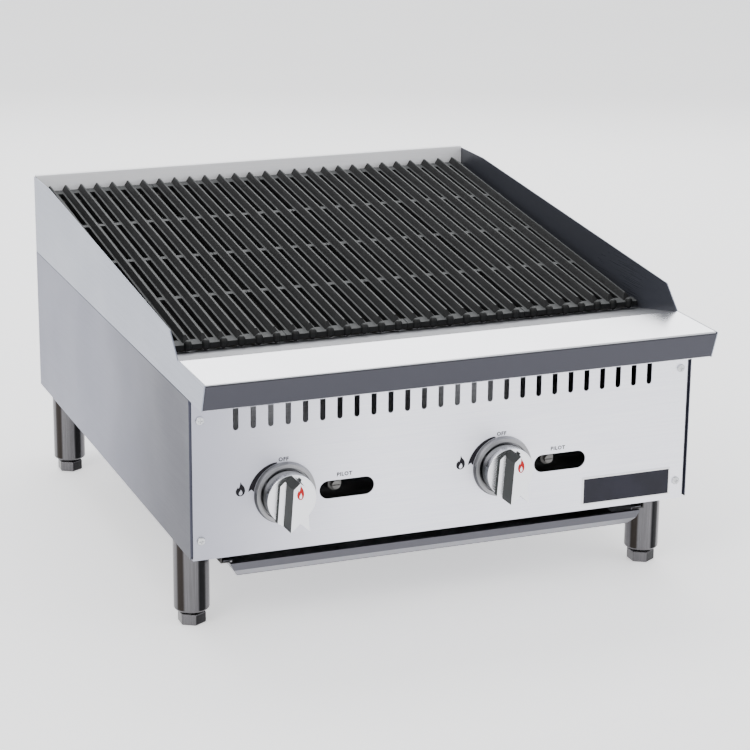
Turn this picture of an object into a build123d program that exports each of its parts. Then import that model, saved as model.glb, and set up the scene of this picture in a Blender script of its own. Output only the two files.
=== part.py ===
"""Countertop gas charbroiler, 24 in class: sheet-steel body, sloping cast-iron grates, two U burners.

Millimetres. +X is to the right of a person facing the control panel, +Y runs from the panel to the
rear, +Z is up. The origin is on the floor, at the middle of the whole outline seen from above.
"""

from build123d import *
import os
from math import atan2, cos, degrees, radians, sin, tan

os.makedirs("parts", exist_ok=True)

# ------------------------------------------------ driving dimensions

# Body
body_width = 610.0
body_depth = 688.0  # from the side panels' front edge to the rear face
leg_height = 101.0  # floor to the body's lower edge
side_height = 184.0  # lower side panel
ledge_rise = 33.0  # ledge top above the lower side panel
splash_front_rise = 26.5  # splash at the knee, above the ledge
splash_rear_rise = 42.0  # splash at the rear, above the knee
back_splash_rise = 2.5  # back splash above the splash sides

# Sheet thicknesses
sheet = 1.2
splash_sheet = 1.5
rail_plate = 2.0
bend_radius = 1.5  # outside radius of the sheet bends that show

# Ledge
ledge_overhang = 58.0  # ledge front edge ahead of the body
ledge_setback = 12.0  # the ledge's lower front edge leans back by this much
ledge_rear = 38.6  # rear edge of the flat top
ledge_bend_radius = 3.0
splash_knee = 67.0  # depth at which the splash reaches its front height
splash_level = 82.0  # level stretch at the splash's rear end

# Control panel
panel_inset = 2.0  # panel face behind the body's front edge
panel_side_gap = 2.6
panel_drop = 3.0  # the panel reaches this far below the body
panel_lip = 15.0
vent_count = 26
vent_margin = 53.75  # body's side to the outermost vent's centre line
vent_width = 6.5
vent_length = 37.7
vent_drop = 3.0  # vents end this far below the lower side panel's top
pilot_slot_length = 65.0
pilot_slot_height = 21.0
pilot_slot_gap = 4.5  # between the bezel and the slot
pilot_slot_z = 61.5
pilot_valve_inset = 8.0  # pilot valve left of its slot's centre
screw_inset_x = 13.0
screw_low = 20.0
screw_drop = 25.5  # upper screws below the lower side panel's top
screw_head_r = 4.8
screw_head_h = 2.2
screw_shank_r = 2.0
screw_length = 9.0
badge_width = 114.0
badge_height = 33.5
badge_right = 21.0  # from the body's right face
badge_bottom = 4.0

# Burners, knobs and gas train
burner_margin = 43.0  # at each side; the four burner legs share the width between
burner_shift = 1.5  # the burner layout sits this far right of the middle
knob_z = 64.5
knob_r = 28.6
knob_front = 22.0  # disc face ahead of the body's front edge
bar_height = 27.0  # the grip bar stands this far out of the disc
bar_top_face = 6.8  # half widths of the bar: its face and its foot, at the top and at the tail
bar_top_foot = 15.5
bar_tail_face = 11.0
bar_tail_foot = 20.0
bar_step = 5.0  # low step along each side of the bar's foot
bar_peak = 27.5  # the bar's roof-shaped top above the axis
bar_eaves = 20.5  # where the roof meets the bar's sides
bar_tip = 28.5  # the two tail tips below the axis
bar_notch = 18.5
bar_waist = 22.5
bar_wall_lean = 1.0  # each side wall leans out by this towards the disc
bezel_rim = 7.4  # bezel beyond the knob
bezel_depth = 6.0
stem_r = 4.0
running_clearance = 0.05  # radial, shaft in hole
loose_clearance = 2.0  # holes that only let something pass
fit_gap = 0.3  # sheet metal beside sheet metal
rest_gap = 0.1

# Grates
grate_count = 4
grate_gap = 0.8
rib_count = 7
rib_side_room = 1.5  # casting's width that the ribs leave over
rib_base = 10.0
rib_crest = 2.0
rib_height = 7.0
web_width = 14.4  # flat bar under each rib
web_thickness = 6.0
grate_front = 128.0  # depth of the grate's front face
grate_rear_inset = 12.0  # grate's rear face ahead of the body's
grate_front_drop = 16.5  # underside at the front face, below the ledge's top
grate_rise = 60.5  # from the front face to the rear face
end_bar = 15.0
tie_bar = 8.0
tie_count = 3
knuckle_r = 4.6
knuckle_proud = 3.2
knuckle_drop = 2.5
side_gap = 5.5  # grates to the splash sheets

# Drip tray
tray_face_reach = 4.0  # the front face passes each long wall by this much
tray_wall_gap = 2.2  # long wall to the runner's lip
tray_top = 17.0  # tray's upper edge below the body
tray_depth = 19.0
tray_flare = 7.0  # each long wall leans in by this much
tray_front = 15.0
tray_rear_inset = 48.0
tray_sheet = 1.0
tray_side_clearance = 2.0
tray_slide_clearance = 0.3

# Legs
leg_r = 20.5
leg_side_gap = 0.0  # leg's outside to the body's side face
leg_front_y = 66.0
leg_rear_inset = 68.0
leg_tube_wall = 2.0
leg_cap = 8.0
foot_across_flats = 28.6
foot_height = 14.0
foot_neck_r = 10.0
foot_neck = 3.0
foot_stud_r = 6.0
foot_stud = 28.0
bolt_r = 5.0
bolt_head_r = 8.0
bolt_head_h = 6.4

# Gas inlet
inlet_pipe_r = 13.335  # 3/4 in pipe
inlet_pipe_wall = 2.9
inlet_out = 22.0  # nipple beyond the rear face
pipe_side_gap = 3.665  # pipe to the body's side face
pipe_liner_gap = 4.865  # pipe to the side liner
lock_nut_wall = 2.265  # nut's flats beyond the pipe
lock_nut_h = 5.0
pipe_gap = 0.4  # radial, pipe through sheet
manifold_depth = 70.0
manifold_gap = 2.665  # manifold above the base rails' upstands

# ------------------------------------------------ derived places

half = body_width / 2
base_z = leg_height
front_y = (ledge_overhang - body_depth - inlet_out) / 2  # the body's front edge
rear_y = front_y + body_depth
inner_half = half - sheet
ledge_height = side_height + ledge_rise
splash_front_height = ledge_height + splash_front_rise
splash_rear_height = splash_front_height + splash_rear_rise
back_splash_height = splash_rear_height + back_splash_rise
screw_heights = (screw_low, side_height - screw_drop)
vent_pitch = (body_width - 2 * vent_margin) / (vent_count - 1)
vent_top = side_height - vent_drop
vent_bottom = vent_top - vent_length
burner_pitch = (body_width - 2 * burner_margin) / 4
bezel_r = knob_r + bezel_rim
pilot_slot_offset = bezel_r + pilot_slot_gap + pilot_slot_length / 2
grate_rear = body_depth - grate_rear_inset
grate_front_z = ledge_height - grate_front_drop
grate_slope = degrees(atan2(grate_rise, grate_rear - grate_front))
tray_rear = body_depth - tray_rear_inset
leg_rear_y = body_depth - leg_rear_inset
SIDES = ((-1, "left"), (1, "right"))


def depth(distance):
    """Y of a point this far behind the body's front edge."""
    return front_y + distance


def height(distance):
    """Z of a point this far above the body's lower edge."""
    return base_z + distance


def slab(x, y, z, mode=Mode.ADD):
    """Puts a box into the open part, between the limits given as (from, to) pairs."""
    x, y, z = sorted(x), sorted(y), sorted(z)
    with Locations(((x[0] + x[1]) / 2, (y[0] + y[1]) / 2, (z[0] + z[1]) / 2)):
        Box(x[1] - x[0], y[1] - y[0], z[1] - z[0], mode=mode)


def rod(start, end, radius, mode=Mode.ADD):
    """Puts a cylinder between two points into the open part."""
    start, end = Vector(*start), Vector(*end)
    with Locations(Plane(origin=start, z_dir=end - start).location):
        Cylinder(radius, (end - start).length, align=(Align.CENTER, Align.CENTER, Align.MIN), mode=mode)


def outline(*points):
    """Draws a closed outline through the points in the open sketch."""
    Polygon(*points, align=None)


rail_upstand = 20.0
pipe_x = half - pipe_side_gap - inlet_pipe_r  # the supply pipe's lane along the right side
pipe_y = depth(manifold_depth)
pipe_z = height(rail_upstand + manifold_gap + inlet_pipe_r)
lock_nut_r = inlet_pipe_r + lock_nut_wall  # across-flats half width

# legs, and inwards from them the runners, the tray and the base rails' inner edges
leg_x = half - leg_side_gap - leg_r
leg_ys = {"front": depth(leg_front_y), "rear": depth(leg_rear_y)}
runner_leg_gap = 0.8
runner_outer = leg_x - leg_r - runner_leg_gap
runner_top = height(-tray_top)  # the tray's flanges slide on this
runner_lip = 11.0
wall_top_half = runner_outer - runner_lip - tray_wall_gap
tray_half_width = wall_top_half + tray_face_reach
rail_inner = tray_half_width - 16.0


# ------------------------------------------------ lower side panels

flange_y = depth(panel_inset + sheet)  # the panel lies against this flange
flange_reach = 22.0
top_flange_reach = 20.0

for side, word in SIDES:
    outer = side * half
    with BuildPart() as side_panel:
        slab((outer, outer - side * sheet), (front_y, rear_y), (height(0), height(side_height)))
        slab((outer, outer - side * flange_reach), (flange_y, flange_y + sheet),
             (height(rail_plate), height(side_height)))
        slab((outer, outer - side * top_flange_reach), (flange_y, rear_y - sheet),
             (height(side_height - sheet), height(side_height)))
        slab((outer, outer - side * flange_reach), (rear_y - 2 * sheet, rear_y - sheet),
             (height(rail_plate), height(side_height)))
        top_edges = side_panel.edges().filter_by(Axis.Y).group_by(Axis.Z)[-1]
        fillet(top_edges.sort_by(Axis.X)[0 if side < 0 else -1], sheet * 0.9)
        # clearance holes for the panel screws
        for z in screw_heights:
            rod((outer - side * screw_inset_x, flange_y - 1, height(z)),
                (outer - side * screw_inset_x, flange_y + sheet + 1, height(z)), screw_shank_r,
                    Mode.SUBTRACT)
        if side > 0:
            rod((pipe_x, rear_y - 3 * sheet, pipe_z), (pipe_x, rear_y - sheet / 2, pipe_z),
                inlet_pipe_r + pipe_gap, Mode.SUBTRACT)
    side_panel.part.label = f"side_panel_{word}"
    export_step(side_panel.part, f"parts/side_panel_{word}.step")

# ------------------------------------------------ splash sides, one sheet with the ledge's end

splash_outline = [
    (depth(ledge_setback - ledge_overhang), height(side_height)),
    (depth(-ledge_overhang), height(ledge_height)),
    (depth(ledge_rear), height(ledge_height)),
    (depth(splash_knee), height(splash_front_height)),
    (rear_y - splash_level, height(splash_rear_height)),
    (rear_y, height(splash_rear_height)),
    (rear_y, height(side_height)),
]

for side, word in SIDES:
    outer = side * half
    with BuildPart() as splash_side:
        with BuildSketch(Plane.YZ.offset(outer)):
            outline(*splash_outline)
        extrude(amount=-side * splash_sheet)
        slab((outer, outer - side * top_flange_reach), (flange_y, rear_y - flange_reach - 1),
             (height(side_height), height(side_height + sheet)))
        low_edge = splash_side.edges().filter_by(Axis.Y).group_by(Axis.Z)[0]
        fillet(low_edge.sort_by(Axis.X)[0 if side < 0 else -1], sheet * 0.6)
    splash_side.part.label = f"splash_side_{word}"
    export_step(splash_side.part, f"parts/splash_side_{word}.step")

splash_inner = half - splash_sheet

# ------------------------------------------------ back splash, a folded cap

back_splash_thickness = 8.5
with BuildPart() as back_splash:
    span = (-splash_inner + fit_gap, splash_inner - fit_gap)
    face_y = rear_y - back_splash_thickness
    slab(span, (face_y, face_y + sheet), (height(ledge_height), height(back_splash_height)))
    slab(span, (face_y, rear_y), (height(back_splash_height - sheet), height(back_splash_height)))
    slab(span, (rear_y - sheet, rear_y), (height(side_height), height(back_splash_height)))
    slab(span, (rear_y - flange_reach, rear_y), (height(side_height), height(side_height + sheet)))
    fillet(back_splash.edges().filter_by(Axis.X).group_by(Axis.Z)[-1], sheet * 0.8)
back_splash.part.label = "back_splash"
export_step(back_splash.part, "parts/back_splash.step")

# ------------------------------------------------ rear panel with a vent row and the pipe hole

rear_vent_count = 14
rear_vent_margin = 71.0
rear_vent_pitch = (body_width - 2 * rear_vent_margin) / (rear_vent_count - 1)
rear_vent_z = side_height - 64.0
rear_foot_gap = 4.2  # rear panel's foot to the base rails
with BuildPart() as rear_panel:
    slab((-inner_half + fit_gap, inner_half - fit_gap), (rear_y - sheet, rear_y),
         (height(0), height(side_height)))
    slab((-rail_inner + rear_foot_gap, rail_inner - rear_foot_gap), (rear_y - flange_reach, rear_y),
         (height(0), height(sheet)))
    with BuildSketch(Plane.XZ.offset(-rear_y)):
        with Locations((pipe_x, pipe_z)):
            Circle(inlet_pipe_r + pipe_gap)
        with Locations((0, height(rear_vent_z))):
            with GridLocations(rear_vent_pitch, 1, rear_vent_count, 1):
                SlotOverall(24, 5, rotation=90)
    extrude(amount=sheet * 3, both=True, mode=Mode.SUBTRACT)
rear_panel.part.label = "rear_panel"
export_step(rear_panel.part, "parts/rear_panel.step")

# ------------------------------------------------ base rails, with the tray's runners under them

runner_ys = (depth(tray_front + 8), depth(tray_rear + 12))

for side, word in SIDES:
    with BuildPart() as base_rail:
        slab((side * (inner_half - 0.1), side * rail_inner), (flange_y + 2 * sheet, rear_y - 3 * sheet),
             (height(0), height(rail_plate)))
        slab((side * rail_inner, side * (rail_inner + rail_plate)), (flange_y + 2 * sheet, rear_y - 25),
             (height(0), height(rail_upstand)))
        slab((side * runner_outer, side * (runner_outer - sheet)), runner_ys,
             (height(0.2), runner_top - sheet))
        slab((side * runner_outer, side * (runner_outer - runner_lip)), runner_ys,
             (runner_top - sheet, runner_top))
        for y in leg_ys.values():
            rod((side * leg_x, y, height(-1)), (side * leg_x, y, height(rail_plate + 1)), bolt_r + 0.4,
                Mode.SUBTRACT)
    base_rail.part.label = f"base_rail_{word}"
    export_step(base_rail.part, f"parts/base_rail_{word}.step")

with BuildPart() as base_cross_front:
    cross_ys = (depth(24.0), depth(54.0))
    slab((-rail_inner + 0.2, rail_inner - 0.2), cross_ys, (height(0), height(rail_plate)))
    slab((-rail_inner + 0.2, rail_inner - 0.2), (cross_ys[1] - rail_plate, cross_ys[1]),
         (height(0), height(14)))
base_cross_front.part.label = "base_cross_front"
export_step(base_cross_front.part, "parts/base_cross_front.step")

# ------------------------------------------------ ledge

ledge_half = splash_inner - fit_gap
with BuildPart() as ledge:
    with BuildSketch(Plane.YZ.offset(-ledge_half)):
        with BuildLine():
            run = [
                (depth(panel_inset - 0.1), height(side_height)),
                (depth(ledge_setback - ledge_overhang), height(side_height)),
                (depth(-ledge_overhang), height(ledge_height)),
                (depth(ledge_rear), height(ledge_height)),
                (depth(ledge_rear), height(ledge_height - 12)),
            ]
            skin = FilletPolyline(*run, radius=ledge_bend_radius)
            offset(skin, amount=splash_sheet, side=Side.LEFT)
        make_face()
    extrude(amount=2 * ledge_half)
ledge.part.label = "ledge"
export_step(ledge.part, "parts/ledge.step")

# ------------------------------------------------ control panel

panel_half = inner_half - panel_side_gap
panel_face = depth(panel_inset)
panel_top = ledge_height - 12.0  # the panel runs up behind the ledge's front
knob_xs = {"left": burner_shift - 1.5 * burner_pitch, "right": burner_shift + 0.5 * burner_pitch}
stem_hole_r = stem_r + loose_clearance
with BuildPart() as control_panel:
    slab((-panel_half, panel_half), (panel_face, panel_face + sheet),
         (height(-panel_drop), height(panel_top)))
    slab((-panel_half, panel_half), (panel_face, panel_face + panel_lip),
         (height(-panel_drop), height(-panel_drop + sheet)))
    low_front = control_panel.edges().filter_by(Axis.X).group_by(Axis.Z)[0].sort_by(Axis.Y)[0]
    fillet(low_front, sheet * 0.9)
    with BuildSketch(Plane.XZ.offset(-panel_face)):
        with Locations((0, height((vent_bottom + vent_top) / 2))):
            with GridLocations(vent_pitch, 1, vent_count, 1):
                SlotOverall(vent_top - vent_bottom, vent_width, rotation=90)
        for x in knob_xs.values():
            with Locations((x, height(knob_z))):
                Circle(stem_hole_r)
            with Locations((x + pilot_slot_offset, height(pilot_slot_z))):
                SlotOverall(pilot_slot_length, pilot_slot_height)
        for x in (-half + screw_inset_x, half - screw_inset_x):
            for z in screw_heights:
                with Locations((x, height(z))):
                    Circle(screw_shank_r)
    extrude(amount=sheet * 2, both=True, mode=Mode.SUBTRACT)
control_panel.part.label = "control_panel"
export_step(control_panel.part, "parts/control_panel.step")

with BuildPart() as panel_screws:
    for x in (-half + screw_inset_x, half - screw_inset_x):
        for z in screw_heights:
            centre = (x, panel_face, height(z))
            with BuildSketch(Plane(origin=centre, x_dir=(1, 0, 0), z_dir=(0, -1, 0))):
                Circle(screw_head_r)
            extrude(amount=screw_head_h)
            rod(centre, (x, panel_face + screw_length, height(z)), screw_shank_r)
    rims = panel_screws.edges().filter_by(GeomType.CIRCLE).group_by(Axis.Y)[0]
    fillet(rims, screw_head_h * 0.7)
    for x in (-half + screw_inset_x, half - screw_inset_x):
        for z in screw_heights:
            for wide, tall in ((5.4, 1.1), (1.1, 5.4)):
                slab((x - wide / 2, x + wide / 2),
                     (panel_face - screw_head_h - 1, panel_face - screw_head_h + 1.1),
                     (height(z) - tall / 2, height(z) + tall / 2), Mode.SUBTRACT)
panel_screws.part.label = "panel_screws"
export_step(panel_screws.part, "parts/panel_screws.step")

with BuildPart() as blank_badge:
    badge_x = half - badge_right
    with BuildSketch(Plane.XZ.offset(-panel_face)):
        with Locations((badge_x - badge_width / 2, height(badge_bottom + badge_height / 2))):
            RectangleRounded(badge_width, badge_height, 1.5)
    extrude(amount=1.0)
blank_badge.part.label = "blank_badge"
export_step(blank_badge.part, "parts/blank_badge.step")

# ------------------------------------------------ fire box: front apron and wall, liners, rear support

wall_y = depth(150.0)
tilt = radians(grate_slope)
seat = (depth(grate_front - knuckle_proud * cos(tilt) + knuckle_drop * sin(tilt)),
        height(grate_front_z - knuckle_proud * sin(tilt) - knuckle_drop * cos(tilt)) - rest_gap)
apron_start = (depth(ledge_rear + rest_gap), height(ledge_height - splash_sheet - rest_gap))
apron_fall = (apron_start[1] - seat[1]) / (seat[0] - apron_start[0])
apron_end = (wall_y, apron_start[1] - (wall_y - apron_start[0]) * apron_fall)
wall_low = height(rail_upstand + 0.5)
foot_xs = (rail_inner + rail_plate + 0.5, pipe_x - inlet_pipe_r - pipe_liner_gap)
venturi_r = 17.0
venturi_wall = 3.0
pilot_tube_r = 2.4
pilot_xs = {word: x + pilot_slot_offset - pilot_valve_inset for word, x in knob_xs.items()}
pilot_z = height(pilot_slot_z)

with BuildPart() as front_apron:
    with BuildSketch(Plane.YZ.offset(-ledge_half)):
        outline(
            apron_start,
            apron_end,
            (wall_y, wall_low),
            (wall_y - sheet, wall_low),
            (wall_y - sheet, apron_end[1] - sheet),
            (apron_start[0], apron_start[1] - sheet),
        )
    extrude(amount=2 * ledge_half)
    # clear of the side liners' lanes, where the supply pipe runs
    for side, word in SIDES:
        slab((side * (inner_half + 1), side * foot_xs[1]), (wall_y - 3, wall_y + 1),
             (height(0), height(side_height + sheet + 0.5)), Mode.SUBTRACT)
        slab((side * foot_xs[0], side * foot_xs[1]), (wall_y - sheet, wall_y), (height(rail_plate),
                                                                                wall_low))
    for word, x in knob_xs.items():
        rod((x, wall_y - 5, height(knob_z)), (x, wall_y + 5, height(knob_z)), venturi_r + loose_clearance,
            Mode.SUBTRACT)
        rod((pilot_xs[word], wall_y - 5, pilot_z), (pilot_xs[word], wall_y + 5, pilot_z), pilot_tube_r + 1,
            Mode.SUBTRACT)
front_apron.part.label = "front_apron"
export_step(front_apron.part, "parts/front_apron.step")

liner_x = foot_xs[1]  # outer face of the side liners
liner_top = side_height + 2.0
liner_front_y = wall_y
liner_rear_inset = 33.0
liner_rear_y = depth(body_depth - liner_rear_inset)
radiant_ledge_z = height(112.0)
ledge_reach = 16.0

for side, word in SIDES:
    with BuildPart() as liner:
        slab((side * liner_x, side * (liner_x - sheet)), (liner_front_y + 2 * sheet, liner_rear_y - 0.2),
             (height(rail_plate), height(liner_top + sheet)))
        slab((side * liner_x, side * (splash_inner - fit_gap)),
             (liner_front_y + 2 * sheet, liner_rear_y - 0.2),
             (height(liner_top), height(liner_top + sheet)))
    liner.part.label = f"liner_{word}"
    export_step(liner.part, f"parts/liner_{word}.step")

with BuildPart() as liner_front:
    liner_half = liner_x - 0.2
    slab((-liner_half, liner_half), (liner_front_y, liner_front_y + sheet), (height(24), height(150)))
    slab((-liner_half, liner_half), (liner_front_y, liner_front_y + sheet + ledge_reach),
         (radiant_ledge_z - sheet, radiant_ledge_z))
    for side, word in SIDES:
        slab((side * liner_half, side * (liner_half - sheet * 2)),
             (liner_front_y + sheet, liner_front_y + sheet + ledge_reach),
             (height(100), height(120)), Mode.SUBTRACT)
    for word, x in knob_xs.items():
        rod((x, wall_y - 5, height(knob_z)), (x, wall_y + 5, height(knob_z)), venturi_r + loose_clearance,
            Mode.SUBTRACT)
        rod((pilot_xs[word], wall_y - 5, pilot_z), (pilot_xs[word], wall_y + 5, pilot_z), pilot_tube_r + 1,
            Mode.SUBTRACT)
liner_front.part.label = "liner_front"
export_step(liner_front.part, "parts/liner_front.step")

with BuildPart() as liner_rear:
    slab((-liner_x, liner_x), (liner_rear_y, liner_rear_y + sheet), (wall_low, height(side_height + 30)))
    slab((-liner_half + sheet * 2, liner_half - sheet * 2), (liner_rear_y - ledge_reach, liner_rear_y),
         (radiant_ledge_z - sheet, radiant_ledge_z))
    for side, word in SIDES:
        span = (side * foot_xs[0], side * foot_xs[1])
        slab(span, (liner_rear_y, liner_rear_y + sheet), (height(rail_plate), wall_low))
        slab(span, (liner_rear_y, liner_rear_y + 8), (height(rail_plate), height(rail_plate + sheet)))
liner_rear.part.label = "liner_rear"
export_step(liner_rear.part, "parts/liner_rear.step")

# ------------------------------------------------ grates

grate_run = (grate_rear - grate_front) / cos(radians(grate_slope))
grate_span = 2 * (splash_inner - side_gap + grate_gap / 2)  # all castings and their gaps
grate_spacing = grate_span / grate_count
casting_width = grate_spacing - grate_gap
grate_up = (0, -sin(radians(grate_slope)), cos(radians(grate_slope)))
grate_along = Vector(0, cos(radians(grate_slope)), sin(radians(grate_slope)))
rib_pitch = (grate_spacing - rib_side_room) / rib_count
cell = (grate_run - 2 * end_bar - tie_count * tie_bar) / (tie_count + 1)

for index in range(grate_count):
    centre_x = (index - (grate_count - 1) / 2) * grate_spacing
    corner = Vector(centre_x, depth(grate_front), height(grate_front_z))
    rib_xs = [(i - (rib_count - 1) / 2) * rib_pitch for i in range(rib_count)]
    with BuildPart(Plane(origin=corner, x_dir=(1, 0, 0), z_dir=grate_up)) as grate:
        # flat bars under the ribs
        for x in rib_xs:
            slab((x - web_width / 2, x + web_width / 2), (0, grate_run), (0, web_thickness))
        # end bars and cross ties
        starts = [(0, end_bar), (grate_run - end_bar, grate_run)]
        for tie in range(tie_count):
            low = end_bar + (tie + 1) * cell + tie * tie_bar
            starts.append((low, low + tie_bar))
        for span in starts:
            slab((-casting_width / 2, casting_width / 2), span, (0, web_thickness))
        # roof-shaped ribs
        rear_plane = Plane(origin=corner + grate_along * grate_run, x_dir=(1, 0, 0), z_dir=-grate_along)
        with BuildSketch(rear_plane):
            for x in rib_xs:
                outline((x - rib_base / 2, web_thickness - 0.5),
                        (x - rib_crest / 2, web_thickness + rib_height),
                        (x + rib_crest / 2, web_thickness + rib_height),
                        (x + rib_base / 2, web_thickness - 0.5))
        extrude(amount=grate_run)
        # the ribs' front ends slope down to the end bar
        side_plane = Plane(origin=corner - Vector(casting_width, 0, 0), x_dir=grate_along, z_dir=(1, 0, 0))
        with BuildSketch(side_plane):
            outline((-9, web_thickness), (6, web_thickness),
                    (6 + rib_height + 1, web_thickness + rib_height + 1),
                    (-9, web_thickness + rib_height + 1))
        extrude(amount=2 * casting_width, mode=Mode.SUBTRACT)
        # rounded knuckles on the front face, one under each rib
        for x in rib_xs:
            with Locations((x, knuckle_r - knuckle_proud, knuckle_r - knuckle_drop)):
                Sphere(knuckle_r)
                Cylinder(knuckle_r, web_thickness + knuckle_drop - knuckle_r,
                         align=(Align.CENTER, Align.CENTER, Align.MIN))
            with Locations((x, knuckle_r - knuckle_proud, web_thickness)):
                Sphere(knuckle_r)
    grate.part.label = f"grate_{index + 1}"
    export_step(grate.part, f"parts/grate_{index + 1}.step")

support_reach = 40.0  # support's front edge ahead of the body's rear face
with BuildPart() as rear_grate_support:
    support_front = body_depth - support_reach
    shelf_z = height(grate_front_z + (support_front - grate_front) * tan(radians(grate_slope)) - 0.6)
    support_span = (-splash_inner + fit_gap, splash_inner - fit_gap)
    face_back = rear_y - back_splash_thickness
    slab(support_span, (depth(support_front), face_back), (shelf_z - splash_sheet, shelf_z))
    slab(support_span, (face_back - splash_sheet, face_back), (height(ledge_height + 2), shelf_z))
    slab(support_span, (depth(support_front), depth(support_front) + splash_sheet), (shelf_z - 12, shelf_z))
rear_grate_support.part.label = "rear_grate_support"
export_step(rear_grate_support.part, "parts/rear_grate_support.step")

# ------------------------------------------------ radiants over the burner legs

leg_xs = [burner_shift + (i - 1.5) * burner_pitch for i in range(4)]
radiant_foot = 6.0
radiant_gap = 11.0  # between neighbouring radiants
radiant_half = burner_pitch / 2 - radiant_foot - radiant_gap / 2
radiant_rise = 36.0
radiant_sheet = 1.5
radiant_ys = (liner_front_y + sheet + 0.6, liner_rear_y - 0.6)
for index, x in enumerate(leg_xs):
    with BuildPart() as radiant:
        with BuildSketch(Plane.XZ.offset(-radiant_ys[1])):
            outline((x - radiant_half - radiant_foot, radiant_ledge_z), (x - radiant_half, radiant_ledge_z),
                    (x, radiant_ledge_z + radiant_rise), (x + radiant_half, radiant_ledge_z),
                    (x + radiant_half + radiant_foot, radiant_ledge_z),
                    (x + radiant_half + radiant_foot, radiant_ledge_z + radiant_sheet),
                    (x + radiant_half, radiant_ledge_z + radiant_sheet),
                    (x, radiant_ledge_z + radiant_rise + radiant_sheet),
                    (x - radiant_half, radiant_ledge_z + radiant_sheet),
                    (x - radiant_half - radiant_foot, radiant_ledge_z + radiant_sheet))
        extrude(amount=radiant_ys[1] - radiant_ys[0])
    radiant.part.label = f"radiant_{index + 1}"
    export_step(radiant.part, f"parts/radiant_{index + 1}.step")

# ------------------------------------------------ burners

tube_width = 38.0
tube_height = 30.0
tube_wall = 3.5
burner_front = 172.0
burner_rear_inset = 52.0
burner_rear = body_depth - burner_rear_inset
port_pitch = 24.0
port_r = 1.5
venturi_front = 108.0
shutter_length = 16.0

for word, x in knob_xs.items():
    far_x = x + burner_pitch
    ys = (depth(burner_front), depth(burner_rear))
    low_z = height(knob_z) - tube_height / 2
    with BuildPart() as burner:
        for grow, mode in ((0, Mode.ADD), (tube_wall, Mode.SUBTRACT)):
            reach = tube_width / 2 - grow
            zs = (low_z + grow, low_z + tube_height - grow)
            slab((x - reach, x + reach), (ys[0] + grow, ys[1] - grow), zs, mode)
            slab((far_x - reach, far_x + reach), (ys[0] + grow, ys[1] - grow), zs, mode)
            slab((x - reach, far_x + reach), (ys[1] - tube_width + grow, ys[1] - grow), zs, mode)
        rod((x, depth(venturi_front), height(knob_z)), (x, ys[0] + 1, height(knob_z)), venturi_r)
        rod((x, depth(venturi_front) - 1, height(knob_z)), (x, ys[0] + tube_wall + 1, height(knob_z)),
            tube_height / 2 - tube_wall, Mode.SUBTRACT)
        port_rows = int((burner_rear - burner_front - 40) // port_pitch)
        with BuildSketch(Plane.XY.offset(low_z + tube_height + 1)):
            for leg_x_here in (x, far_x):
                with Locations((leg_x_here, (ys[0] + ys[1]) / 2)):
                    with GridLocations(16, port_pitch, 2, port_rows):
                        Circle(port_r)
        extrude(amount=-(tube_wall + 2), mode=Mode.SUBTRACT)
    burner.part.label = f"burner_{word}"
    export_step(burner.part, f"parts/burner_{word}.step")

    with BuildPart() as air_shutter:
        shutter_front = depth(venturi_front - 2)
        rod((x, shutter_front, height(knob_z)), (x, shutter_front + shutter_length, height(knob_z)),
            venturi_r + running_clearance + 1.5)
        rod((x, shutter_front + 1.2, height(knob_z)), (x, shutter_front + shutter_length + 1,
                                                       height(knob_z)),
            venturi_r + running_clearance, Mode.SUBTRACT)
        with BuildSketch(Plane.XZ.offset(-shutter_front + 1)):
            with Locations((x, height(knob_z))):
                with PolarLocations(10.0, 3):
                    Circle(4.0)
                Circle(5.0)
        extrude(amount=-4, mode=Mode.SUBTRACT)
    air_shutter.part.label = f"air_shutter_{word}"
    export_step(air_shutter.part, f"parts/air_shutter_{word}.step")

# ------------------------------------------------ gas train

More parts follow.
